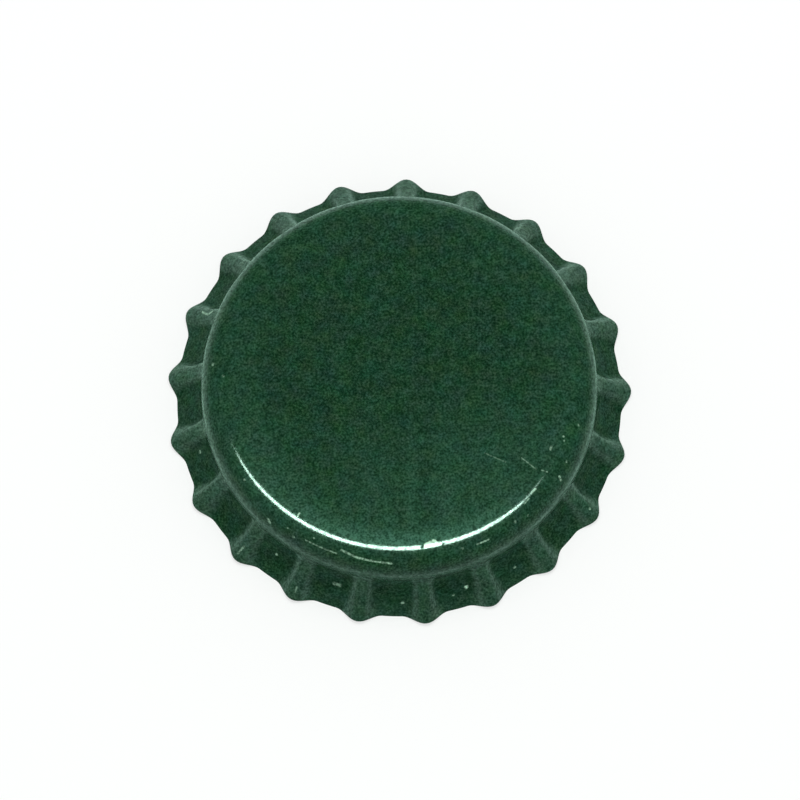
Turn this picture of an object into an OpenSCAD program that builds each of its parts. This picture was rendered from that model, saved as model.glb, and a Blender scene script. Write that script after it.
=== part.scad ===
// Crown cap: a round steel closure for a bottle, as it leaves the press and before it is crimped.
// The shell is one disc of lacquered tinplate, drawn into a shallow cup with a fluted, flared skirt.
// The liner is a thin polymer disc with two sealing beads, moulded into the cup and bonded there.
// The cap stands on its hem: Z = 0 is the level of the hem, +Z points up through the panel,
// and one tooth lies on +X. All sizes are in millimetres.

/* [Shell] */
// Diameter over the tips of the teeth
teeth_d = 32.1; // [31.2:0.05:33.4]
// Height from the hem to the top of the panel
cap_h = 5.85; // [5.4:0.05:6.8]
// Inside diameter of the collar, which slips over a bottle's mouth
bore_d = 26.75; // [26.2:0.05:27.3]
// Thickness of the tinplate
sheet_t = 0.24; // [0.18:0.01:0.32]
// Outer radius of the round corner between the panel and the collar
corner_r = 2.2; // [1.4:0.05:2.6]
// Height of the plain collar between the corner and the flutes
collar_h = 0.6; // [0.2:0.05:1]

/* [Flutes] */
// Number of teeth round the hem
tooth_count = 21; // [16:1:25]
// Diameter of the hem at the hollows between the teeth
hollow_d = 30.7; // [29.6:0.05:31.1]
// Height of a tooth's tip above the hollows, where the flared sheet runs short
tip_rise = 0.32; // [0:0.01:0.6]
// Width of a ridge's foot in the upper part of the skirt
ridge_top_w = 1.8; // [1.1:0.05:2.4]
// Width of a ridge's foot at the hem
ridge_hem_w = 3.25; // [2.6:0.05:4]
// How late a ridge widens on its way down, as a power of the way
ridge_spread = 3.0; // [1:0.1:4]
// How much wider a ridge's foot is at its root, where it runs out into the collar
root_extra_w = 1.2; // [0:0.1:2]
// Share of the skirt on which a ridge's root narrows
root_share = 0.2; // [0.1:0.05:0.4]
// Share of a ridge's half width that is flat at its root; the flat fades out towards the hem
crest_flat = 0.25; // [0:0.05:0.5]
// Softness of the bend from the collar into a ridge, as a share of the skirt
crest_bend = 0.15; // [0.04:0.01:0.3]
// Softness of the bend from the collar into a hollow, as a share of the skirt
hollow_bend = 0.8; // [0.3:0.05:1.2]

/* [Liner] */
// Diameter of the liner
liner_d = 25.2; // [22:0.1:25.8]
// Thickness of the liner's middle
web_t = 0.3; // [0.2:0.05:0.5]
// Thickness of the flat seat that the bottle's lip presses on
seat_t = 0.45; // [0.35:0.05:0.6]
// Width of the flat seat, from bead to bead
seat_w = 1.05; // [0.6:0.05:2]
// Width of each sealing bead
bead_w = 1.1; // [0.8:0.05:1.4]
// Height of each sealing bead, measured from the panel
bead_h = 0.8; // [0.75:0.05:1.15]
// Width of the liner's plain edge outside the outer bead
edge_w = 0.1; // [0.05:0.05:0.4]

/* [Hidden] */

// How fine the round faces are drawn
round_steps = 128;
// Points from a ridge's crest to its foot, and from its foot to the middle of a hollow
ridge_steps = 5;
hollow_steps = 2;
// Rows of points down the skirt, and how they crowd towards the bend at its top
skirt_rows = 8;
row_crowding = 1.35;
// The skirt starts inside the collar's sheet: how far up, and how far in from its faces
lap_h = 0.1;
lap_in = 0.01;
// Small steps for measuring the slope of the skirt
angle_step = 0.05;
way_step = 0.005;

bore_r = bore_d / 2;
collar_r = bore_r + sheet_t;
corner_z = cap_h - corner_r;
corner_x = collar_r - corner_r;
skirt_h = corner_z - collar_h;
panel_under_z = cap_h - sheet_t;
tooth_pitch = 360 / tooth_count;
side_steps = ridge_steps + hollow_steps;
column_count = 2 * side_steps * tooth_count;
outer_bead_r = liner_d / 2 - edge_w - bead_w / 2;
inner_bead_r = outer_bead_r - bead_w - seat_w;

// A bend that starts upright at 0 and runs out straight to 1; a small softness is a tight bend
function bend(way, softness) =
    (norm([way, softness]) - softness) / (norm([1, softness]) - softness);

// Height of a ridge's rounded section, 1 on its crest and 0 at its foot
function section(side, way) =
    let (flat = crest_flat * (1 - pow(way, ridge_spread)))
    side >= 1 ? 0 : side <= flat ? 1 : (1 + cos(180 * (side - flat) / (1 - flat))) / 2;

// Radius of the skirt's outside along a hollow and along a crest; way is 0 at the collar, 1 at the hem
function hollow_r(way) = collar_r + (hollow_d / 2 - collar_r) * bend(way, hollow_bend);
function crest_r(way) = collar_r + (teeth_d / 2 - collar_r) * bend(way, crest_bend);

// Width of a ridge's foot: wide at its root, narrow below that, and spreading towards the hem
function ridge_w(way) =
    ridge_top_w
    + root_extra_w * pow(max(0, 1 - way / root_share), 2)
    + (ridge_hem_w - ridge_top_w) * pow(way, ridge_spread);

// Angle that half of a ridge covers, seen from the axis
function ridge_angle(way) = ridge_w(way) * 90 / PI / hollow_r(way);

// Angle from the nearest crest
function off_crest(angle) = abs(angle - tooth_pitch * round(angle / tooth_pitch));

// A point on the skirt's outside
function skirt_point(angle, way) =
    let (
        rise = section(off_crest(angle) / ridge_angle(way), way),
        r = hollow_r(way) + (crest_r(way) - hollow_r(way)) * rise,
        z = skirt_h * (1 - way) + tip_rise * way * rise
    )
    [r * cos(angle), r * sin(angle), z];

// The skirt's outward direction at that point
function skirt_normal(angle, way) =
    let (
        round_way = skirt_point(angle + angle_step, way) - skirt_point(angle - angle_step, way),
        up_way = skirt_point(angle, max(way - way_step, 0)) - skirt_point(angle, way + way_step),
        outward = cross(round_way, up_way)
    )
    outward / norm(outward);

// The point across the sheet, on the skirt's inside; the hem is cut level
function skirt_inside(angle, way) =
    let (
        outward = skirt_normal(angle, way),
        level = [outward.x, outward.y, 0],
        across = way < 1 ? outward : level / (level * level)
    )
    skirt_point(angle, way) - sheet_t * across;

// Angle of a column of points: columns fan out with the ridges, then share each hollow evenly
function column_angle(column, way) =
    let (
        tooth = floor((column + side_steps) / (2 * side_steps)),
        side = column - tooth * 2 * side_steps,
        count = abs(side),
        foot = ridge_angle(way),
        off = count <= ridge_steps
            ? foot * count / ridge_steps
            : foot + (tooth_pitch / 2 - foot) * (count - ridge_steps) / hollow_steps
    )
    tooth * tooth_pitch + sign(side) * off;

function row_way(row) = pow(row / skirt_rows, row_crowding);

// A ring of points at the skirt's top, inside the collar's sheet
function lap_ring(r, z) =
    [for (column = [0:column_count - 1])
        let (angle = column_angle(column, 0))
        [r * cos(angle), r * sin(angle), z]];

// Two triangles for each cell between ring and the ring below it; flip turns them over
function band(upper, lower, flip) =
    [for (column = [0:column_count - 1])
        let (
            next = (column + 1) % column_count,
            a = upper + column,
            b = upper + next,
            c = lower + next,
            d = lower + column
        )
        each flip ? [[a, c, b], [a, d, c]] : [[a, b, c], [a, c, d]]];

// The outer or inner face of the hollow space in the cup, as half a section
module cup_profile(inset) {
    square([corner_x, cap_h - inset]);
    square([collar_r - inset, corner_z]);
    translate([corner_x, corner_z])
        circle(corner_r - inset, $fn = round_steps);
}

module cup() {
    rotate_extrude($fn = round_steps)
        difference() {
            cup_profile(0);
            cup_profile(sheet_t);
            square([collar_r + sheet_t, skirt_h]);
        }
}

module skirt() {
    outer = concat(
        lap_ring(collar_r - lap_in, skirt_h + lap_h),
        lap_ring(collar_r - lap_in, skirt_h),
        [for (row = [1:skirt_rows], column = [0:column_count - 1])
            skirt_point(column_angle(column, row_way(row)), row_way(row))]
    );
    inner = concat(
        lap_ring(bore_r + lap_in, skirt_h + lap_h),
        lap_ring(bore_r + lap_in, skirt_h),
        [for (row = [1:skirt_rows], column = [0:column_count - 1])
            skirt_inside(column_angle(column, row_way(row)), row_way(row))]
    );
    last = (skirt_rows + 1) * column_count;
    inside = len(outer);
    faces = concat(
        [for (row = [0:skirt_rows]) each band(row * column_count, (row + 1) * column_count, false)],
        [for (row = [0:skirt_rows])
            each band(inside + row * column_count, inside + (row + 1) * column_count, true)],
        band(inside, 0, false),
        band(last, inside + last, false)
    );
    polyhedron(concat(outer, inner), faces);
}

module shell() {
    color([0.13, 0.25, 0.17])
        union() {
            cup();
            skirt();
        }
}

// Half a section of one sealing bead: a stem down from the panel with a round foot
module bead_profile(along_r) {
    translate([along_r - bead_w / 2, panel_under_z - bead_h + bead_w / 2])
        square([bead_w, bead_h - bead_w / 2]);
    translate([along_r, panel_under_z - bead_h + bead_w / 2])
        circle(bead_w / 2, $fn = round_steps);
}

module liner() {
    color([0.86, 0.87, 0.85])
        rotate_extrude($fn = round_steps)
            intersection() {
                cup_profile(sheet_t);
                union() {
                    translate([0, panel_under_z - web_t])
                        square([liner_d / 2, web_t]);
                    translate([inner_bead_r, panel_under_z - seat_t])
                        square([liner_d / 2 - inner_bead_r, seat_t]);
                    bead_profile(inner_bead_r);
                    bead_profile(outer_bead_r);
                }
            }
}

shell();
liner();
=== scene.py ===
# The looks of a green crown bottle cap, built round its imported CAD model.
import math

import bpy
from mathutils import Matrix, Vector


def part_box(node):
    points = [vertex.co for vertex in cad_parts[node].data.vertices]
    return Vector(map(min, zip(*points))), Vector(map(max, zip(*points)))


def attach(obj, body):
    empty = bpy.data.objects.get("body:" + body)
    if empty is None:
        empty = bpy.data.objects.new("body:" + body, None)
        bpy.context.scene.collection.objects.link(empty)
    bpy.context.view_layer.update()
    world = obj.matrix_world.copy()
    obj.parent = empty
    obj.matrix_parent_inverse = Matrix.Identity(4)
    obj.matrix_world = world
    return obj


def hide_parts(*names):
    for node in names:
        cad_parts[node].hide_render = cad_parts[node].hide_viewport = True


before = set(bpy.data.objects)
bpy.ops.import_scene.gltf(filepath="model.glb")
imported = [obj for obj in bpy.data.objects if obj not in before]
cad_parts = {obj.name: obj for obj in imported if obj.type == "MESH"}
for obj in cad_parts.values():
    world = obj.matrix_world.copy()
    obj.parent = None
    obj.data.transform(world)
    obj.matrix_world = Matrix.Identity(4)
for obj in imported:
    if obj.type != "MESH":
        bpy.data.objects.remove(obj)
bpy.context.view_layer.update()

_, shell_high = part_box("shell")
liner_low, liner_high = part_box("liner")

# Sizes in metres. What the imported parts tell comes from them, the rest repeats the part's own sizes.
MM = 0.001
TOOTH_COUNT = 21
CAP_H = shell_high.z
TEETH_R = shell_high.x
SHEET_T = 0.24 * MM
BORE_R = 13.375 * MM
CORNER_R = 2.2 * MM
COLLAR_H = 0.6 * MM
HOLLOW_R = 15.35 * MM
TIP_RISE = 0.32 * MM
RIDGE_TOP_W = 1.8 * MM
RIDGE_HEM_W = 3.25 * MM
RIDGE_SPREAD = 3.0
ROOT_EXTRA_W = 1.2 * MM
ROOT_SHARE = 0.2
CREST_FLAT = 0.25
CREST_BEND = 0.15
HOLLOW_BEND = 0.8
WEB_T = 0.3 * MM
SEAT_T = 0.45 * MM
SEAT_W = 1.05 * MM
BEAD_W = 1.1 * MM
EDGE_W = 0.1 * MM

# What follows from them
COLLAR_R = BORE_R + SHEET_T
CORNER_X = COLLAR_R - CORNER_R
CORNER_Z = CAP_H - CORNER_R
SKIRT_H = CORNER_Z - COLLAR_H
PITCH = 2 * math.pi / TOOTH_COUNT
PANEL_UNDER = CAP_H - SHEET_T
LINER_R = liner_high.x
BEAD_H = PANEL_UNDER - liner_low.z
OUTER_BEAD_R = LINER_R - EDGE_W - BEAD_W / 2
INNER_BEAD_R = OUTER_BEAD_R - BEAD_W - SEAT_W

# What is finer than the solids: the round of the hem's edges, the liner's soft edges, and the gap
# that keeps the liner's mesh clear of the sheet's
HEM_ROUND = 0.03 * MM
LINER_SOFT = 0.08 * MM
LINER_GAP = 0.01 * MM

# How fine the meshes are
PANEL_RINGS = 5
PANEL_EDGE_RINGS = (1.4 * MM, 0.9 * MM, 0.4 * MM)
CORNER_STEPS = 22
COLLAR_STEPS = 6
SKIRT_ROWS = 38
ROW_CROWDING = 1.3
HEM_STEPS = 4
RIDGE_STEPS = 8
HOLLOW_STEPS = 4
SIDE_STEPS = RIDGE_STEPS + HOLLOW_STEPS
COLUMNS = 2 * SIDE_STEPS * TOOTH_COUNT
LINER_COLUMNS = 256
LINER_RINGS = 6
LINER_CORNER_STEPS = 10
BEAD_STEPS = 16

# Marks in the lacquer, and painted highlights, in millimetres. A scratch or painted highlight is (start, end,
# reach to each side, strength).
SCRATCHES_AND_GLINTS = [
    # a pale broken line along the near corner, and a dash beside it
    ((-6.83, -11.05, 5.18), (-5.98, -11.53, 5.18), 0.06, 0.3),
    ((-5.98, -11.53, 5.18), (-4.78, -12.08, 5.18), 0.06, 0.42),
    ((-4.44, -11.93, 5.42), (-3.38, -12.46, 5.27), 0.08, 0.5),
    ((-3.38, -12.46, 5.27), (-2.35, -12.73, 5.23), 0.08, 0.65),
    ((-2.35, -12.73, 5.23), (-1.09, -12.95, 5.18), 0.07, 0.75),
    ((4.81, -11.88, 5.34), (5.60, -11.58, 5.31), 0.06, 0.65),
    # the panel's edge: a spur, then painted highlight where the round edge's shine bulges, and where its end
    # breaks up
    ((-7.36, -9.54, 5.76), (-7.20, -9.31, 5.82), 0.06, 0.8),
    ((1.33, -11.95, 5.77), (1.86, -11.73, 5.80), 0.17, 2.4),
    ((1.86, -11.73, 5.80), (2.27, -11.84, 5.77), 0.11, 2.0),
    ((8.15, -9.24, 5.65), (8.47, -8.88, 5.68), 0.05, 0.5),
    ((8.70, -8.50, 5.72), (8.94, -8.25, 5.72), 0.07, 0.6),
    # fine scratches on the panel
    ((5.60, -5.60, 5.85), (7.00, -6.30, 5.85), 0.045, 0.13),
    ((8.10, -6.05, 5.85), (9.05, -6.90, 5.85), 0.045, 0.24),
    ((9.41, -6.97, 5.83), (9.82, -7.09, 5.74), 0.05, 0.28),
    ((10.15, -5.35, 5.85), (10.10, -5.52, 5.85), 0.08, 0.5),
    # dashes on the corner
    ((10.63, -7.32, 5.27), (10.73, -7.53, 5.05), 0.09, 0.65),
    ((-9.35, -9.38, 4.87), (-9.24, -9.58, 4.77), 0.10, 0.55),
    # dashes on the skirt
    ((-5.00, -13.25, 1.54), (-4.64, -13.33, 1.54), 0.16, 0.35),
    ((-7.59, -13.25, 1.09), (-7.75, -13.52, 0.78), 0.07, 0.25),
    ((-11.53, -10.57, 0.72), (-11.11, -10.25, 1.24), 0.08, 0.4),
    ((-13.37, 6.64, 1.42), (-12.96, 6.24, 1.98), 0.08, 0.5),
    ((-12.96, 6.24, 1.98), (-12.62, 6.43, 2.19), 0.08, 0.42),
    # two soft painted highlights on the skirt, on flanks that face the far side
    ((-10.30, 9.95, 1.95), (-9.95, 10.30, 1.60), 0.35, 0.13),
    ((8.40, 11.90, 1.90), (8.75, 11.75, 1.60), 0.30, 0.13)]
# A speck is (place, reach, strength).
SPECKS = [
    # on the panel's edge and the corner
    ((11.03, -4.63, 5.79), 0.08, 0.45),
    ((11.06, -4.92, 5.74), 0.07, 0.3),
    ((12.11, -3.77, 5.44), 0.08, 0.5),
    ((11.16, -6.31, 5.34), 0.08, 0.42),
    ((7.46, -10.42, 5.35), 0.10, 0.45),
    ((8.36, -9.95, 5.18), 0.08, 0.3),
    ((3.79, -12.15, 5.43), 0.10, 0.2),
    ((-8.04, -10.15, 5.23), 0.07, 0.3),
    ((-7.67, -10.72, 4.96), 0.10, 0.4),
    ((-6.29, -11.01, 5.45), 0.08, 0.35),
    ((-12.03, 0.67, 5.76), 0.09, 0.28),
    ((-12.70, 1.66, 5.34), 0.12, 0.5),
    ((-10.86, -6.67, 5.39), 0.10, 0.5),
    # on the skirt
    ((4.02, -13.77, 1.23), 0.15, 1.0),
    ((3.11, -14.22, 0.93), 0.10, 0.35),
    ((7.39, -12.45, 1.03), 0.11, 0.5),
    ((12.76, -8.50, 1.03), 0.10, 0.55),
    ((-8.89, -10.97, 1.54), 0.11, 0.6),
    ((-0.39, -14.60, 0.86), 0.12, 0.5),
    ((-13.87, -3.39, 1.30), 0.13, 0.55),
    ((-13.53, -2.31, 2.74), 0.09, 0.3)]
# Cuts that break the shine of the round edge
NICKS = [
    ((2.42, -12.08, 5.65), (2.50, -11.85, 5.74), 0.07, 1.0),
    ((1.04, -12.05, 5.72), (1.12, -11.80, 5.78), 0.13, 0.93)]
# Painted streaks of a smeared reflection in the panel's painted glow: millimetres across the panel, and the
# glow's share there
STREAKS = [
    (-6.5, 1.0), (-4.41, 0.7), (-3.46, 1.35), (-2.98, 0.4), (-2.30, 1.35), (-1.83, 0.95),
    (-1.01, 1.25), (0.14, 0.65), (0.68, 1.5), (1.70, 0.4), (2.51, 1.0), (3.32, 1.35),
    (4.61, 0.75), (5.22, 1.15), (5.77, 0.95), (6.64, 1.25), (8.0, 1.0)]
STREAK_TURN = math.radians(-2.4)


# ---------------------------------------------------------------- the shell's form

def bend(way, softness):
    """A bend that starts upright at 0 and runs out straight to 1."""
    return (math.hypot(way, softness) - softness) / (math.hypot(1, softness) - softness)


def section(side, way):
    """Height of a ridge's rounded section, 1 on its crest and 0 at its foot."""
    flat = CREST_FLAT * (1 - way ** RIDGE_SPREAD)
    if side >= 1:
        return 0.0
    if side <= flat:
        return 1.0
    return (1 + math.cos(math.pi * (side - flat) / (1 - flat))) / 2


def hollow_r(way):
    """Radius of the outside along the middle of a hollow."""
    return COLLAR_R + (HOLLOW_R - COLLAR_R) * bend(way, HOLLOW_BEND)


def crest_r(way):
    """Radius of the outside along a ridge's crest."""
    return COLLAR_R + (TEETH_R - COLLAR_R) * bend(way, CREST_BEND)


def ridge_angle(way):
    """Angle that half of a ridge covers, seen from the axis."""
    width = RIDGE_TOP_W + (RIDGE_HEM_W - RIDGE_TOP_W) * way ** RIDGE_SPREAD
    width += ROOT_EXTRA_W * max(0, 1 - way / ROOT_SHARE) ** 2
    return width / 2 / hollow_r(way)


def nearest_tooth(angle):
    """The angle of the tooth that an angle is nearest to."""
    return PITCH * round(angle / PITCH)


def skirt_point(angle, way):
    """A point on the outside of the skirt; way is 0 at the collar and 1 at the hem."""
    off = abs(angle - nearest_tooth(angle))
    rise = section(off / ridge_angle(way), way)
    r = hollow_r(way) + (crest_r(way) - hollow_r(way)) * rise
    z = SKIRT_H * (1 - way) + TIP_RISE * way * rise
    return Vector((r * math.cos(angle), r * math.sin(angle), z))


def skirt_inside(angle, way):
    """The point across the sheet from skirt_point."""
    turn, step = 0.0008, 0.004
    round_way = skirt_point(angle + turn, way) - skirt_point(angle - turn, way)
    up_way = skirt_point(angle, max(way - step, 0)) - skirt_point(angle, way + step)
    return skirt_point(angle, way) - SHEET_T * round_way.cross(up_way).normalized()


def column_angle(column, way):
    """Columns fan out with the ridges, then share each hollow evenly."""
    tooth = (column + SIDE_STEPS) // (2 * SIDE_STEPS)
    side = column - tooth * 2 * SIDE_STEPS
    count = abs(side)
    foot = ridge_angle(way)
    if count <= RIDGE_STEPS:
        off = foot * count / RIDGE_STEPS
    else:
        off = foot + (PITCH / 2 - foot) * (count - RIDGE_STEPS) / HOLLOW_STEPS
    return tooth * PITCH + math.copysign(off, side)


def inside_end(column):
    """How far down the inside runs before it is level with the outside's hem."""
    way, tries = 1.0, 6
    hem_z = skirt_point(column_angle(column, 1), 1).z
    for _ in range(tries):
        point = skirt_inside(column_angle(column, way), way)
        way -= (hem_z - point.z) / SKIRT_H
    return way


# ---------------------------------------------------------------- meshes from rings

def revolve(profile, angles):
    """A ring of points for each (radius, height) of a profile."""
    return [[Vector((r * math.cos(a), r * math.sin(a), z)) for a in angles] for r, z in profile]


def corner_arc(radius, steps, last_turn=math.pi / 2):
    """Points of the round corner, from the panel out to a turn; the full turn ends at the collar."""
    turns = [last_turn * i / steps for i in range(steps + 1)]
    return [(CORNER_X + radius * math.sin(t), CORNER_Z + radius * math.cos(t)) for t in turns]


def round_corner(start, corner, end, steps):
    """Points of a rounded corner, its ends left out."""
    points = []
    for i in range(1, steps):
        t = i / steps
        points.append(start * (1 - t) ** 2 + corner * 2 * t * (1 - t) + end * t ** 2)
    return points


def join_rings(name, rings):
    """A closed mesh of quads between rings of equal length, with a fan of triangles at either end."""
    count = len(rings[0])
    points = [p for ring in rings for p in ring]
    faces = []
    for i in range(len(rings) - 1):
        for c in range(count):
            a, b = i * count + c, i * count + (c + 1) % count
            faces.append((a, a + count, b + count, b))
    last = (len(rings) - 1) * count
    first_centre = len(points)
    points += [Vector((0, 0, rings[0][0].z)), Vector((0, 0, rings[-1][0].z))]
    for c in range(count):
        faces.append((first_centre, c, (c + 1) % count))
        faces.append((first_centre + 1, last + (c + 1) % count, last + c))
    mesh = bpy.data.meshes.new(name)
    mesh.from_pydata([tuple(p) for p in points], [], faces)
    mesh.validate()
    mesh.shade_smooth()
    piece = bpy.data.objects.new(name, mesh)
    bpy.context.scene.collection.objects.link(piece)
    return piece


# ---------------------------------------------------------------- where the lacquer is dull, worn, and painted paler as sheen and glow
# A way is 0 at the collar and 1 at the hem, and an off is 0 on a ridge's crest and 1 at its foot.
# The near side is -Y, toward the camera, and the far side is +Y.

# Dull hollows: whole up to one height of the section and gone at the next; they set in and lessen by way
DULL_HEIGHTS = (0.15, 0.75)
DULL_FROM = (0.02, 0.14)
DULL_HEM = (0.7, 1.0)
DULL_HEM_LOSS = 0.2

# The ring round the collar, pale partly from rub wear and partly as painted sheen, and how much more its two
# sides get, which is painted sheen
RING_Z = SKIRT_H + 0.6 * MM
RING_REACH = 0.55 * MM
RING_RUB_AND_SHEEN = 1.05
RING_SIDE_GAIN = 2.1
RING_SIDE_POWER = 4

# Crests pale partly from rub wear and partly as painted sheen: more at the sides and most at the left, less
# at the far side and at the near hem
CREST_RUB_AND_SHEEN = 0.34
CREST_REACH = 0.35
CREST_SIDE_GAIN = 0.9
CREST_LEFT_GAIN = 0.35
CREST_FAR_LOSS = 0.7
CREST_NEAR_HEM_LOSS = 0.6
CREST_HEM_LOSS = 0.4

# Painted sheen on the shoulders, half way from crest to foot: most on flanks that face the far side, at the
# left and right
SHOULDER_SHEEN = 0.25
SHOULDER_OFF = 0.55
SHOULDER_REACH = 0.2
SHOULDER_NEAR_GAIN = 0.2
SHOULDER_FAR_LOSS = 0.15
SHOULDER_FACING_GAIN = 0.5
SHOULDER_HEM_LOSS = 0.3
SHOULDER_FAR_TOP_GAIN = 1.2
SHOULDER_TOP_REACH = 0.3

# Painted sheen on the roots of the far ridges, and what the hem gains of it at the near side and loses all
# round
ROOT_SHEEN = 0.4
ROOT_WAY_REACH = 0.35
ROOT_OFF_REACH = 0.7
HEM_WAYS = (0.55, 0.9)
HEM_NEAR_GAIN = 0.22
HEM_LOSS = 0.1

# Painted light along the panel's edge and the corner: a pale band all round, more at the left, and a sharper
# painted glow at the near side, round the mirrored arc
BAND_STARTS = (8 * MM, 11.2 * MM)
BAND_ENDS = (12.5 * MM, 13.2 * MM)
BAND_GLOW = 0.06
BAND_FAR_SINES = (-0.1, 0.7)
BAND_FAR_LOSS = 0.5
LEFT_TURN = math.radians(218)
LEFT_GLOW = 0.09
LEFT_POWER = 10
NEAR_GLOW = 0.48
NEAR_POWER = 4
NEAR_GLOW_R = CORNER_X + 0.4 * MM
NEAR_GLOW_INWARD = 0.85 * MM
NEAR_GLOW_OUTWARD = 0.3 * MM


def soft_step(value, low, high):
    """0 up to low, 1 from high on, and smooth between."""
    t = min(max((value - low) / (high - low), 0), 1)
    return t * t * (3 - 2 * t)


def hump(value, middle, reach):
    """1 at the middle, and fading out to both sides."""
    return math.exp(-((value - middle) / reach) ** 2)


def sunk_share(angle, way):
    """How far a place on the skirt lies inside a hollow, from 0 to 1."""
    off = abs(angle - nearest_tooth(angle)) / ridge_angle(way)
    inward = 1 - soft_step(section(off, way), *DULL_HEIGHTS)
    return inward * soft_step(way, *DULL_FROM) * (1 - DULL_HEM_LOSS * soft_step(way, *DULL_HEM))


def ring_rub_and_sheen(angle, z):
    """How pale the ring round the collar is at a height, from rub wear and painted sheen."""
    return (RING_RUB_AND_SHEEN + RING_SIDE_GAIN * math.cos(angle) ** RING_SIDE_POWER) * hump(z, RING_Z, RING_REACH)


def edge_glow(angle, r):
    """How much painted glow and painted reflection pale the panel's edge and the corner at a radius."""
    reach = NEAR_GLOW_INWARD if r < NEAR_GLOW_R else NEAR_GLOW_OUTWARD
    near = max(0, -math.sin(angle)) ** NEAR_POWER * hump(r, NEAR_GLOW_R, reach)
    left = max(0, math.cos(angle - LEFT_TURN)) ** LEFT_POWER
    band = soft_step(r, *BAND_STARTS) * (1 - soft_step(r, *BAND_ENDS))
    strength = BAND_GLOW * (1 - BAND_FAR_LOSS * soft_step(math.sin(angle), *BAND_FAR_SINES))
    return (strength + LEFT_GLOW * left) * band + NEAR_GLOW * near


def rub_and_sheen_share(angle, way):
    """How pale a place on the skirt is from rub wear and painted sheen, or its place on the ring, where that
    is more.
    """
    tooth = nearest_tooth(angle)
    off = abs(angle - tooth) / ridge_angle(way)
    facing = max(0, math.copysign(math.cos(tooth), (angle - tooth) * math.cos(tooth)))
    far, near = max(0, math.sin(angle)), max(0, -math.sin(angle))

    crest = CREST_RUB_AND_SHEEN * (1 - CREST_HEM_LOSS * way) * hump(off, 0, CREST_REACH)
    crest *= 1 + CREST_SIDE_GAIN * abs(math.cos(angle)) - CREST_LEFT_GAIN * math.cos(angle)
    crest *= (1 - CREST_FAR_LOSS * far) * (1 - CREST_NEAR_HEM_LOSS * near * way)

    shoulder = SHOULDER_SHEEN + SHOULDER_NEAR_GAIN * near - SHOULDER_FAR_LOSS * far
    shoulder += SHOULDER_FACING_GAIN * math.sqrt(facing) * (1 - SHOULDER_HEM_LOSS * way)
    shoulder *= 1 + SHOULDER_FAR_TOP_GAIN * far * hump(way, 0, SHOULDER_TOP_REACH)
    shoulder *= hump(off, SHOULDER_OFF, SHOULDER_REACH)

    root = ROOT_SHEEN * far * hump(way, 0, ROOT_WAY_REACH) * hump(off, 0, ROOT_OFF_REACH)
    hem = (HEM_NEAR_GAIN * near - HEM_LOSS) * soft_step(way, *HEM_WAYS)
    return max(0, crest + shoulder + root + hem, ring_rub_and_sheen(angle, SKIRT_H * (1 - way)))


def note_shares(mesh, name, values):
    """Keeps a value for each point of the outside; the rest of the sheet has none."""
    layer = mesh.attributes.new(name, "FLOAT", "POINT")
    layer.data.foreach_set("value", values + [0.0] * (len(mesh.vertices) - len(values)))


def note_wear_and_painted_light(mesh, round_rings, ways):
    """Notes what is dull, what is pale from rub wear and painted sheen, and where painted glow lies, on the
    round rings first and then down the skirt.
    """
    sunk = [0.0] * len(round_rings) * COLUMNS
    rub_and_sheen, painted_glow = [], []
    for ring in round_rings:
        turns = [math.atan2(point.y, point.x) for point in ring]
        rub_and_sheen += [ring_rub_and_sheen(turn, point.z) for turn, point in zip(turns, ring)]
        painted_glow += [edge_glow(turn, math.hypot(point.x, point.y)) for turn, point in zip(turns, ring)]
    for way in ways:
        turns = [column_angle(c, way) for c in range(COLUMNS)]
        sunk += [sunk_share(turn, way) for turn in turns]
        rub_and_sheen += [rub_and_sheen_share(turn, way) for turn in turns]
    note_shares(mesh, "sunk", sunk)
    note_shares(mesh, "rub_and_sheen", rub_and_sheen)
    note_shares(mesh, "painted_glow", painted_glow)


# ---------------------------------------------------------------- the shell's mesh

# The slots of the shell's materials
LACQUER, BARE, COATING = 0, 1, 2
# Length of the flared skirt over its height
SKIRT_RUN = 1.15


def inside_ring(way, inner_ways):
    """A ring of the skirt's inside; each column's way is stretched so that it ends level with the hem."""
    ring = []
    for c, end in enumerate(inner_ways):
        ring.append(skirt_inside(column_angle(c, way * end), way * end))
    return ring


def make_hem(last_outside, first_inside, inner_ways):
    """The rings round the cut edge, whose two corners are a little round."""
    rings = [[] for _ in range(2 * HEM_STEPS)]
    for c, way in enumerate(inner_ways):
        outer = skirt_point(column_angle(c, 1), 1)
        inner = skirt_inside(column_angle(c, way), way)
        across = (inner - outer).normalized() * HEM_ROUND
        run = round_corner(last_outside[c], outer, outer + across, HEM_STEPS)
        run += [outer + across, inner - across]
        run += round_corner(inner - across, inner, first_inside[c], HEM_STEPS)
        for ring, point in zip(rings, run):
            ring.append(point)
    return rings


def give_slots(mesh, outside_count, hem_count):
    """Lacquer outside, bare steel on the cut edge and coating inside; the last faces are the two fans."""
    fans_start = len(mesh.polygons) - 2 * COLUMNS
    for face in mesh.polygons:
        row = min(v // COLUMNS for v in face.vertices)
        if face.index >= fans_start:
            top = max(mesh.vertices[v].co.z for v in face.vertices)
            face.material_index = LACQUER if top > CAP_H - SHEET_T / 2 else COATING
        elif row < outside_count:
            face.material_index = LACQUER
        elif row < outside_count + hem_count - 1:
            face.material_index = BARE
        else:
            face.material_index = COATING


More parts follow.
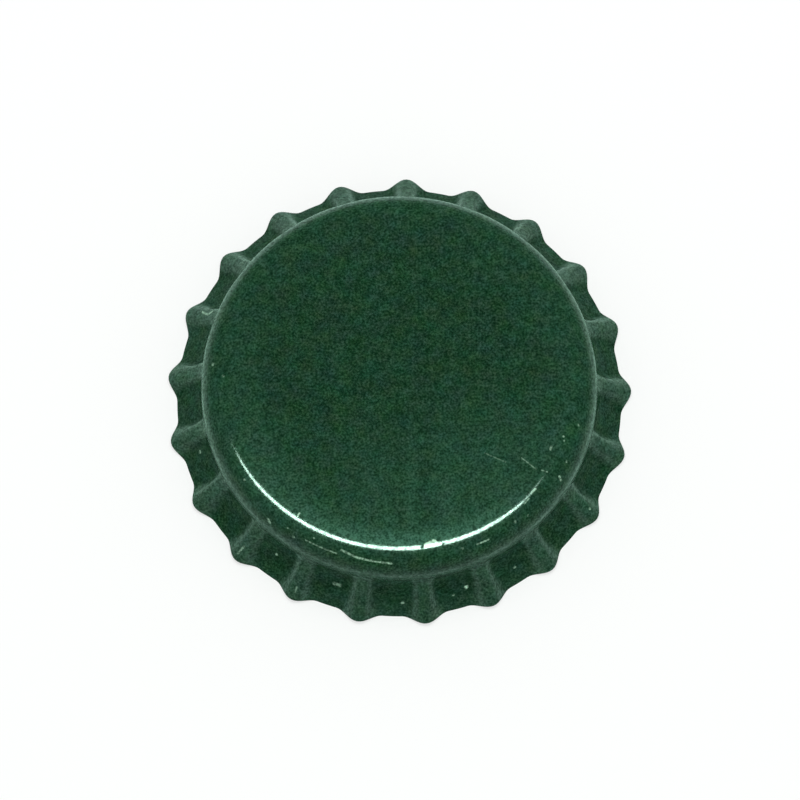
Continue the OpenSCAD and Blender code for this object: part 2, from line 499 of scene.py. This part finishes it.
def make_shell():
    """The pressed sheet as one closed mesh: outside from the middle out, the hem, and back inside."""
    angles = [column_angle(c, 0) for c in range(COLUMNS)]
    flat = [CORNER_X * i / PANEL_RINGS for i in range(1, PANEL_RINGS)]
    flat += [CORNER_X - inward for inward in PANEL_EDGE_RINGS]
    collar = [(COLLAR_R, CORNER_Z - COLLAR_H * i / COLLAR_STEPS) for i in range(1, COLLAR_STEPS)]
    top = [(r, CAP_H) for r in flat] + corner_arc(CORNER_R, CORNER_STEPS) + collar
    round_rings = revolve(top, angles)

    # the hem's round takes the last of the skirt
    trimmed = 1 - HEM_ROUND / (SKIRT_H * SKIRT_RUN)
    shares = [(row / SKIRT_ROWS) ** ROW_CROWDING for row in range(SKIRT_ROWS + 1)]
    ways = [share * trimmed for share in shares]
    skirt = [[skirt_point(column_angle(c, way), way) for c in range(COLUMNS)] for way in ways]
    inner_ways = [inside_end(c) for c in range(COLUMNS)]
    inside = [inside_ring(way, inner_ways) for way in reversed(ways)]
    hem = make_hem(skirt[-1], inside[0], inner_ways)
    back = corner_arc(CORNER_R - SHEET_T, CORNER_STEPS)[::-1] + [(r, PANEL_UNDER) for r in reversed(flat)]

    outside = round_rings + skirt
    made = join_rings("shell_sheet", outside + hem + inside + revolve(back, angles))
    note_wear_and_painted_light(made.data, round_rings, ways)
    give_slots(made.data, len(outside), len(hem))
    return made


# ---------------------------------------------------------------- the liner's mesh

# How the liner's soft edges run, as shares of LINER_SOFT
SOFT_TURN = 0.3
SOFT_RISE = 0.2
# Where the plain edge outside the outer bead starts, as a share of its width
EDGE_START = 0.3


def bead(middle):
    """The rounded foot of a sealing bead, from its inner side to its outer side."""
    low = PANEL_UNDER - BEAD_H + BEAD_W / 2
    turns = [math.pi * i / BEAD_STEPS for i in range(BEAD_STEPS + 1)]
    return [(middle - BEAD_W / 2 * math.cos(t), low - BEAD_W / 2 * math.sin(t)) for t in turns]


def make_liner():
    """The moulded disc, from the middle of its face out over the beads and back under the panel."""
    face_z, seat_z, back_z = PANEL_UNDER - WEB_T, PANEL_UNDER - SEAT_T, PANEL_UNDER - LINER_GAP
    face_end, edge_start = INNER_BEAD_R - BEAD_W / 2, OUTER_BEAD_R + BEAD_W / 2
    seat_start, seat_end = INNER_BEAD_R + BEAD_W / 2, OUTER_BEAD_R - BEAD_W / 2
    soft, turn = LINER_SOFT, LINER_SOFT * SOFT_TURN
    profile = [(face_end * i / LINER_RINGS, face_z) for i in range(1, LINER_RINGS)]
    profile += [(face_end - soft, face_z), (face_end - turn, face_z - turn)]
    profile += bead(INNER_BEAD_R)
    profile += [(seat_start + turn, seat_z - turn), (seat_start + soft, seat_z)]
    profile += [(seat_end - soft, seat_z), (seat_end - turn, seat_z - turn)]
    profile += bead(OUTER_BEAD_R)
    profile += [(edge_start + EDGE_W * EDGE_START, seat_z + soft * SOFT_RISE)]
    profile += [(LINER_R - LINER_GAP, seat_z + soft)]

    # the rim lies in the sheet's round corner
    rim_r = CORNER_R - SHEET_T - LINER_GAP
    rim_turn = math.asin((LINER_R - LINER_GAP - CORNER_X) / rim_r)
    profile += corner_arc(rim_r, LINER_CORNER_STEPS, rim_turn)[::-1]
    profile += [(CORNER_X * (LINER_RINGS - i) / LINER_RINGS, back_z) for i in range(1, LINER_RINGS)]
    angles = [-2 * math.pi * c / LINER_COLUMNS for c in range(LINER_COLUMNS)]
    return join_rings("liner_disc", revolve(profile, angles))


# ---------------------------------------------------------------- shader nodes

def material(name):
    """A new material, its node tree and its shader node."""
    made = bpy.data.materials.new(name)
    made.use_nodes = True
    return made, made.node_tree, made.node_tree.nodes["Principled BSDF"]


def linear(*srgb):
    """A colour given as 0 to 255 on screen, as linear light."""
    parts = [c / 255 for c in srgb]
    return tuple(p / 12.92 if p <= 0.04045 else ((p + 0.055) / 1.055) ** 2.4 for p in parts) + (1.0,)


def grey(tone):
    """A grey that a ramp can hold."""
    return (tone, tone, tone, 1)


def add_node(tree, kind, *values, **settings):
    """A new node with its settings; its open inputs are fed in order, from sockets or constants."""
    made = tree.nodes.new("ShaderNode" + kind)
    for name, setting in settings.items():
        setattr(made, name, setting)
    open_inputs = [socket for socket in made.inputs if socket.enabled]
    for socket, value in zip(open_inputs, values):
        if isinstance(value, bpy.types.NodeSocket):
            tree.links.new(value, socket)
        else:
            socket.default_value = value
    return made


def open_output(made):
    """The first output that a node's settings leave open."""
    return next(socket for socket in made.outputs if socket.enabled)


def calc(tree, operation, *values, **settings):
    """Arithmetic on numbers."""
    return open_output(add_node(tree, "Math", *values, operation=operation, **settings))


def vector_calc(tree, operation, *values):
    """Arithmetic on vectors; some operations give a number."""
    return open_output(add_node(tree, "VectorMath", *values, operation=operation))


def spread(tree, value, low, high, first=0.0, last=1.0, **settings):
    """A number spread from low and high to first and last, and held there."""
    return open_output(add_node(tree, "MapRange", value, low, high, first, last, **settings))


def mix(tree, share, a, b, **settings):
    """A number between a and b, or a colour if the data type says so."""
    return open_output(add_node(tree, "Mix", share, a, b, **settings))


def object_place(tree):
    """The place on the object, in metres."""
    return tree.nodes.new("ShaderNodeTexCoord").outputs["Object"]


def noted(tree, name):
    """A value that the mesh keeps for each of its points."""
    return add_node(tree, "Attribute", attribute_name=name).outputs["Fac"]


def noise(tree, place, scale, detail, output="Fac"):
    """Noise; its scale is in waves to the metre."""
    return add_node(tree, "TexNoise", place, scale, detail).outputs[output]


def ramp(tree, value, stops):
    """A ramp of colours; a stop is (place from 0 to 1, colour)."""
    made = add_node(tree, "ValToRGB", value)
    while len(made.color_ramp.elements) < len(stops):
        made.color_ramp.elements.new(0.5)
    for element, (place, colour) in zip(made.color_ramp.elements, stops):
        element.position = place
        element.color = colour
    return made.outputs["Color"]


# A mark is whole up to one share of its reach, and gone at the other
MARK_WHOLE = 0.5
MARK_GONE = 1.3


def distance_to_stroke(tree, place, start, end):
    """How far a place is from a straight stroke, or from a point if the stroke has no length."""
    start, along = Vector(start) * MM, (Vector(end) - Vector(start)) * MM
    if along.length == 0:
        return vector_calc(tree, "DISTANCE", place, start)
    away = vector_calc(tree, "SUBTRACT", place, start)
    share = vector_calc(tree, "DOT_PRODUCT", away, along / along.length_squared)
    held = open_output(add_node(tree, "Clamp", share))
    nearest = vector_calc(tree, "SCALE", along, held)
    return vector_calc(tree, "DISTANCE", away, nearest)


def mark_mask(tree, place, marks):
    """A mask of short strokes and specks: each is (start, end, reach, strength), in millimetres."""
    whole = None
    for start, end, reach, strength in marks:
        apart = distance_to_stroke(tree, place, start, end)
        mark = spread(tree, apart, reach * MM * MARK_WHOLE, reach * MM * MARK_GONE, strength, 0)
        whole = mark if whole is None else calc(tree, "MAXIMUM", whole, mark)
    return whole


# ---------------------------------------------------------------- materials

# The enamel's grain, its clouds and its orange peel, in waves to the metre
FINE_GRAIN = 6800
COARSE_GRAIN = 3400
CLOUDS = 1700
PEEL = 900
# How much of the coarse grain, and of the clouds, is mixed into the fine grain
COARSE_SHARE = 0.5
CLOUD_SHARE = 0.3
# How far the enamel shifts in red, green and blue from place to place
HUE_SWING = (1.15, 0.6, 1.0)

# How the grain breaks up the painted glow, the rub wear and painted sheen, the marks and painted highlights,
# and the gloss: (place on the noise, share)
GLOW_BREAK = [(0.38, 0.35), (0.62, 1.25)]
RUB_AND_SHEEN_BREAK = [(0.36, 0.12), (0.64, 0.38)]
MARK_AND_GLINT_BREAK = [(0.4, 0.25), (0.58, 1)]
COAT_BREAK = [(0.38, 0.45), (0.6, 1)]

# Colours on screen; the enamel's lie along its own grain
ENAMEL = [(0.34, (4, 36, 18)), (0.5, (23, 56, 36)), (0.66, (43, 77, 57))]
# painted glow: a pale green that stands in for light near the mirrored arc, on the near side and along the
# corner
GLOW_COLOUR = (74, 130, 104)
# worn lacquer, and painted sheen on the sides and flanks that face the light
RUB_AND_SHEEN_COLOUR = (120, 158, 140)
# scratches and specks, and painted highlights on the round edge's shine and on the skirt
MARK_AND_GLINT_COLOUR = (184, 230, 198)

# The painted glow on the panel is a painted lit gradient: it grows toward the near side, and ends where the
# corner falls away
GLOW_WAY = (0.3, -1.0, 0.0)
GLOW_REACH = 12 * MM
GLOW_MOST = 0.13
GLOW_DEPTH = 0.6 * MM
# The streaks are halved in their ramp, which keeps its colours under 1, and doubled after it
STREAK_SCALE = 2.0

COAT_IN_HOLLOWS = 0.24
COAT_ROUGHNESS = 0.12
COAT_IOR = 1.5
PEEL_STRENGTH = 0.05
PEEL_DEPTH = 0.1 * MM


def broken_up(tree, grain, stops):
    """A share that follows the grain."""
    return ramp(tree, grain, [(at, grey(share)) for at, share in stops])


def enamel_green(tree, place, fine):
    """The enamel's own green, with its grain and its shifts of hue."""
    grain = mix(tree, CLOUD_SHARE, fine, noise(tree, place, CLOUDS, detail=3))
    green = ramp(tree, grain, [(at, linear(*colour)) for at, colour in ENAMEL])
    hue = noise(tree, place, PEEL, detail=2, output="Color")
    shift = vector_calc(tree, "MULTIPLY_ADD", hue, HUE_SWING, [1 - swing / 2 for swing in HUE_SWING])
    return mix(tree, 1.0, green, shift, data_type="RGBA", blend_type="MULTIPLY")


def painted_glow_share(tree, place, grain):
    """How strong the painted glow is: in painted streaks like a smeared reflection on the panel, and as the
    mesh notes it along the edge.
    """
    nearness = vector_calc(tree, "DOT_PRODUCT", place, GLOW_WAY)
    growing = spread(tree, nearness, 0.0, GLOW_REACH, 0.0, GLOW_MOST, interpolation_type="SMOOTHSTEP")
    height = add_node(tree, "SeparateXYZ", place).outputs["Z"]
    level = spread(tree, height, CAP_H - GLOW_DEPTH, CAP_H, interpolation_type="SMOOTHSTEP")
    on_panel = calc(tree, "MULTIPLY", growing, level)

    across = vector_calc(tree, "DOT_PRODUCT", place, (math.cos(STREAK_TURN), math.sin(STREAK_TURN), 0.0))
    first, last = STREAKS[0][0], STREAKS[-1][0]
    reflected_streaks = ramp(tree, spread(tree, across, first * MM, last * MM), [
        ((at - first) / (last - first), grey(share / STREAK_SCALE)) for at, share in STREAKS])
    streaked = calc(tree, "MULTIPLY", calc(tree, "MULTIPLY", on_panel, reflected_streaks), STREAK_SCALE)

    whole = calc(tree, "MAXIMUM", streaked, noted(tree, "painted_glow"))
    return calc(tree, "MULTIPLY", whole, broken_up(tree, grain, GLOW_BREAK))


def rub_and_sheen_amount(tree, grain):
    """How much of the colour of rub wear and painted sheen shows; the grain breaks it up."""
    return calc(tree, "MULTIPLY", noted(tree, "rub_and_sheen"), broken_up(tree, grain, RUB_AND_SHEEN_BREAK))


def marks_and_glints_amount(tree, place, fine):
    """How much of the marks and painted highlights shows; the finest grain crumbles them."""
    marks = SCRATCHES_AND_GLINTS + [(spot, spot, reach, strength) for spot, reach, strength in SPECKS]
    return calc(tree, "MULTIPLY", mark_mask(tree, place, marks), broken_up(tree, fine, MARK_AND_GLINT_BREAK))


def coat_weight(tree, place, grain):
    """How much of the clear gloss there is: dull in the hollows, broken by the grain and cut by the nicks."""
    gloss = spread(tree, noted(tree, "sunk"), 0.0, 1.0, 1.0, COAT_IN_HOLLOWS)
    broken = calc(tree, "MULTIPLY", gloss, broken_up(tree, grain, COAT_BREAK))
    return calc(tree, "SUBTRACT", broken, mark_mask(tree, place, NICKS), use_clamp=True)


def lacquer():
    """Dark green stoving enamel, faintly mottled, worn and marked under a clear gloss, with painted glow,
    sheen and highlights mixed into its colour.
    """
    made, tree, shader = material("green_lacquer")
    place = object_place(tree)
    fine = noise(tree, place, FINE_GRAIN, detail=2)
    grain = mix(tree, COARSE_SHARE, fine, noise(tree, place, COARSE_GRAIN, detail=3))

    colour = enamel_green(tree, place, fine)
    # painted light: the glow, the sheen and the highlights are paler greens mixed into the colour
    colour = mix(tree, painted_glow_share(tree, place, grain), colour, linear(*GLOW_COLOUR), data_type="RGBA")
    colour = mix(tree, rub_and_sheen_amount(tree, grain), colour, linear(*RUB_AND_SHEEN_COLOUR), data_type="RGBA")
    colour = mix(tree, marks_and_glints_amount(tree, place, fine), colour, linear(*MARK_AND_GLINT_COLOUR), data_type="RGBA")
    tree.links.new(colour, shader.inputs["Base Color"])

    bump = tree.nodes.new("ShaderNodeBump")
    bump.inputs["Strength"].default_value = PEEL_STRENGTH
    bump.inputs["Distance"].default_value = PEEL_DEPTH
    tree.links.new(noise(tree, place, PEEL, detail=2), bump.inputs["Height"])
    tree.links.new(bump.outputs["Normal"], shader.inputs["Normal"])

    tree.links.new(coat_weight(tree, place, grain), shader.inputs["Coat Weight"])
    shader.inputs["Coat Roughness"].default_value = COAT_ROUGHNESS
    shader.inputs["Coat IOR"].default_value = COAT_IOR
    shader.inputs["Specular IOR Level"].default_value = 0.0
    shader.inputs["Roughness"].default_value = 0.5
    return made


def mottle(tree, place, scale, dark, light, low=0.35):
    """A colour that wanders between two; low is where the noise starts to leave the dark one."""
    return ramp(tree, noise(tree, place, scale, detail=3), [(low, linear(*dark)), (1 - low, linear(*light))])


def bare_edge():
    """The cut edge of the sheet, bare steel."""
    made, tree, shader = material("cut_edge")
    colour = mottle(tree, object_place(tree), scale=2500, dark=(120, 122, 118), light=(175, 176, 172))
    tree.links.new(colour, shader.inputs["Base Color"])
    shader.inputs["Metallic"].default_value = 0.9
    shader.inputs["Roughness"].default_value = 0.38
    return made


def inner_coating():
    """The inside of the tinplate under a clear coating; the mottle is drawn out along the rolling."""
    made, tree, shader = material("clear_coated_tin")
    stretch = tree.nodes.new("ShaderNodeMapping")
    stretch.inputs["Scale"].default_value = (1.0, 0.06, 1.0)
    tree.links.new(object_place(tree), stretch.inputs["Vector"])
    rolled = stretch.outputs["Vector"]
    colour = mottle(tree, rolled, scale=5200, dark=(186, 184, 172), light=(208, 206, 195), low=0.3)
    tree.links.new(colour, shader.inputs["Base Color"])
    shader.inputs["Metallic"].default_value = 0.85
    shader.inputs["Roughness"].default_value = 0.3
    shader.inputs["Coat Weight"].default_value = 0.5
    shader.inputs["Coat Roughness"].default_value = 0.2
    return made


def liner_polymer():
    """Milky moulded polymer."""
    made, tree, shader = material("milky_liner")
    colour = mottle(tree, object_place(tree), scale=2600, dark=(217, 219, 213), light=(226, 228, 222))
    tree.links.new(colour, shader.inputs["Base Color"])
    shader.inputs["Roughness"].default_value = 0.42
    shader.inputs["Subsurface Weight"].default_value = 0.2
    shader.inputs["Subsurface Radius"].default_value = (0.0006, 0.0006, 0.0005)
    shader.inputs["Subsurface Scale"].default_value = 1.0
    return made


# ---------------------------------------------------------------- the pieces

shell = make_shell()
for made in (lacquer(), bare_edge(), inner_coating()):
    shell.data.materials.append(made)
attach(shell, "root")
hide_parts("shell")

liner = make_liner()
liner.data.materials.append(liner_polymer())
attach(liner, "root")
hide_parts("liner")


# ---------------------------------------------------------------- the camera

# The camera, fitted to the photo: how far down it looks, and how far it is turned from -Y
FRAME_PX = 800
PX_PER_M = 14471.0
AXIS_PX = (399.245, 401.74)
CAMERA_ELEVATION = math.radians(73.717)
CAMERA_TURN = math.radians(-2.444)
CAMERA_DISTANCE = 0.56
SENSOR = 36.0
CLIP_NEAR = 0.05
CLIP_FAR = 20.0


def make_camera():
    """The photo's camera, aimed so that AXIS_PX shows where the cap's axis meets the floor."""
    toward = Vector((0, -math.cos(CAMERA_ELEVATION), math.sin(CAMERA_ELEVATION)))
    toward = Matrix.Rotation(CAMERA_TURN, 3, "Z") @ toward
    data = bpy.data.cameras.new("camera")
    made = bpy.data.objects.new("camera", data)
    bpy.context.scene.collection.objects.link(made)
    made.rotation_mode = "QUATERNION"
    made.rotation_quaternion = (-toward).to_track_quat("-Z", "Y")
    right = made.rotation_quaternion @ Vector((1, 0, 0))
    up = made.rotation_quaternion @ Vector((0, 1, 0))
    aim = right * (FRAME_PX / 2 - AXIS_PX[0]) / PX_PER_M + up * (AXIS_PX[1] - FRAME_PX / 2) / PX_PER_M
    made.location = aim + toward * CAMERA_DISTANCE
    data.sensor_width = SENSOR
    data.lens = SENSOR * PX_PER_M * CAMERA_DISTANCE / FRAME_PX
    data.clip_start, data.clip_end = CLIP_NEAR, CLIP_FAR
    bpy.context.scene.camera = made
    return made


camera = make_camera()


# ---------------------------------------------------------------- the floor and the world

# The floor: as the camera sees it, as it throws light back, and as the cap mirrors it along Y
FLOOR_HALF = 1.5
FLOOR_SEEN = (0.955, 0.97, 0.96, 1)
FLOOR_BOUNCE = (0.7, 0.7, 0.7, 1)
FLOOR_GLOW = 0.6
FLOOR_FRONT = (0.23, 0.31, 0.30, 1)
FLOOR_MIDDLE = (0.54, 0.90, 0.71, 1)
FLOOR_BACK = (0.65, 1.0, 0.85, 1)
FLOOR_RAMP_REACH = 22 * MM
# The mirrored floor dims between these distances from the cap's axis
FLOOR_FAR = (0.26, 0.49, 0.36, 1)
FLOOR_NEAR_R = 18 * MM
FLOOR_FAR_R = 42 * MM

# The world: its light on the cap, and as the cap mirrors it from the horizon up
WORLD_LIGHT = (0.66, 0.66, 0.66, 1)
WORLD_LOW = (0.16, 0.34, 0.24, 1)
WORLD_MIDDLE = (0.06, 0.16, 0.10, 1)
WORLD_HIGH = (0.03, 0.05, 0.04, 1)


def by_ray(tree, camera_colour, mirrored, other_colour):
    """A colour that depends on what kind of ray meets it; mirrored is a socket."""
    path = tree.nodes.new("ShaderNodeLightPath")
    colour = mix(tree, path.outputs["Is Glossy Ray"], other_colour, mirrored, data_type="RGBA")
    return mix(tree, path.outputs["Is Camera Ray"], colour, camera_colour, data_type="RGBA")


def along_axis(tree, coordinates, axis, low, high, stops):
    """A ramp of colours that runs along one axis, from low to high."""
    part = add_node(tree, "SeparateXYZ", coordinates).outputs[axis]
    return ramp(tree, spread(tree, part, low, high), stops)


def mirrored_floor(tree):
    """What the cap mirrors of the floor: dark in front, bright behind, and dimmer far out."""
    place = object_place(tree)
    near = along_axis(tree, place, "Y", -FLOOR_RAMP_REACH, FLOOR_RAMP_REACH, [
        (0.0, FLOOR_FRONT), (0.5, FLOOR_MIDDLE), (1.0, FLOOR_BACK)])
    apart = vector_calc(tree, "LENGTH", place)
    beyond = spread(tree, apart, FLOOR_NEAR_R, FLOOR_FAR_R, interpolation_type="SMOOTHSTEP")
    return mix(tree, beyond, near, FLOOR_FAR, data_type="RGBA")


def make_floor():
    """White paper under the cap; for the camera it is partly aglow, which keeps it even."""
    half = FLOOR_HALF
    corners = [(-half, -half, 0), (half, -half, 0), (half, half, 0), (-half, half, 0)]
    mesh = bpy.data.meshes.new("floor")
    mesh.from_pydata(corners, [], [(0, 1, 2, 3)])
    floor = bpy.data.objects.new("floor", mesh)
    bpy.context.scene.collection.objects.link(floor)

    made, tree, shader = material("white_paper")
    tree.nodes.remove(shader)
    diffuse = tree.nodes.new("ShaderNodeBsdfDiffuse")
    colour = by_ray(tree, FLOOR_SEEN, mirrored_floor(tree), FLOOR_BOUNCE)
    tree.links.new(colour, diffuse.inputs["Color"])
    glow = tree.nodes.new("ShaderNodeEmission")
    glow.inputs["Color"].default_value = FLOOR_SEEN
    seen = tree.nodes.new("ShaderNodeLightPath").outputs["Is Camera Ray"]
    share = calc(tree, "MULTIPLY", seen, FLOOR_GLOW)
    lit = add_node(tree, "MixShader", share, diffuse.outputs["BSDF"], glow.outputs["Emission"])
    tree.links.new(lit.outputs["Shader"], tree.nodes["Material Output"].inputs["Surface"])
    mesh.materials.append(made)


def make_world():
    """Even light all round, and a darker sky for the cap to mirror."""
    world = bpy.data.worlds.new("studio")
    bpy.context.scene.world = world
    world.use_nodes = True
    tree = world.node_tree
    way = tree.nodes.new("ShaderNodeTexCoord").outputs["Generated"]
    mirrored = along_axis(tree, way, "Z", 0.0, 1.0, [
        (0.0, WORLD_LOW), (0.55, WORLD_MIDDLE), (1.0, WORLD_HIGH)])
    background = tree.nodes["Background"]
    tree.links.new(by_ray(tree, WORLD_LIGHT, mirrored, WORLD_LIGHT), background.inputs["Color"])
    background.inputs["Strength"].default_value = 1.0


# ---------------------------------------------------------------- the lamps

KEY_PLACE = (0.03, 0.12, 0.60)
KEY_SIZE = 0.45
KEY_RADIANCE = 3.1

# The arc that the corner mirrors: turn round the panel from +X toward the camera and tilt of the corner,
# in degrees, width in millimetres, and share of the brightness
ARC = [
    (40, 17.5, 0.04, 0.3),
    (45, 19.4, 0.06, 0.4),
    (50, 19.9, 0.13, 0.9),
    (60, 18.9, 0.20, 1.0),
    (80, 17.3, 0.26, 1.0),
    (100, 17.8, 0.20, 1.0),
    (115, 18.8, 0.20, 1.0),
    (130, 20.6, 0.17, 1.0),
    (145, 23.1, 0.13, 0.9),
    (150, 23.5, 0.09, 0.75),
    (155, 23.8, 0.02, 0.2)]
ARC_STEP = 5
ARC_DISTANCE = 0.4
ARC_RADIANCE = 50.0
STRIP_COLOUR = (0.66, 1.0, 0.84)
# How much the pieces of the strip lap over each other
STRIP_LAP = 1.06


def add_lamp(name, place, target, width, length, radiance, along):
    """A rectangle of light at a place, facing a target, its length lying along a direction."""
    data = bpy.data.lights.new(name, "AREA")
    data.shape = "RECTANGLE"
    data.size, data.size_y = width, length
    data.energy = radiance * math.pi * width * length
    lamp = bpy.data.objects.new(name, data)
    bpy.context.scene.collection.objects.link(lamp)
    back = (place - target).normalized()
    side = (along - back * along.dot(back)).normalized()
    axes = Matrix((side.cross(back), side, back)).transposed()
    lamp.matrix_world = Matrix.Translation(place) @ axes.to_4x4()
    lamp.visible_camera = False
    return lamp


def mirrored_place(turn, tilt, distance):
    """The spot on the corner at this turn and tilt, and the place that it mirrors to the camera."""
    normal = Matrix.Rotation(CAMERA_TURN - turn, 3, "Z") @ Vector((math.sin(tilt), 0, math.cos(tilt)))
    flat = Vector((normal.x, normal.y, 0)).normalized()
    spot = flat * CORNER_X + Vector((0, 0, CORNER_Z)) + normal * CORNER_R
    seen = (camera.location - spot).normalized()
    return spot, spot + (2 * normal.dot(seen) * normal - seen) * distance


def between(stations, step):
    """The stations with the ones between them, a step of turn apart."""
    whole = [stations[0]]
    for before, after in zip(stations, stations[1:]):
        parts = (after[0] - before[0]) // step
        for i in range(1, parts + 1):
            whole.append(tuple(b + (a - b) * i / parts for a, b in zip(after, before)))
    return whole


def add_strip(name, stations, distance, radiance):
    """A curved strip light that the corner mirrors as an arc; its stations are as in ARC."""
    pairs = []
    for turn, tilt, _, _ in stations:
        pairs.append(mirrored_place(math.radians(turn), math.radians(tilt), distance))
    last = len(stations) - 1
    for i, (_, _, width, share) in enumerate(stations):
        spot, place = pairs[i]
        along = pairs[min(i + 1, last)][1] - pairs[max(i - 1, 0)][1]
        length = along.length / (2 if 0 < i < last else 1) * STRIP_LAP
        lamp_width = width * MM / CORNER_R * 2 * distance
        lamp = add_lamp("%s_%d" % (name, i), place, spot, lamp_width, length, radiance * share, along)
        lamp.visible_diffuse = False
        lamp.data.color = STRIP_COLOUR


add_strip("arc_strip", between(ARC, ARC_STEP), ARC_DISTANCE, ARC_RADIANCE)
origin, key_along = Vector((0, 0, 0)), Vector((0, 1, 0))
soft = add_lamp("soft_key", Vector(KEY_PLACE), origin, KEY_SIZE, KEY_SIZE, KEY_RADIANCE, key_along)
soft.visible_glossy = False

make_floor()
make_world()

view = bpy.context.scene.view_settings
view.view_transform = "Standard"
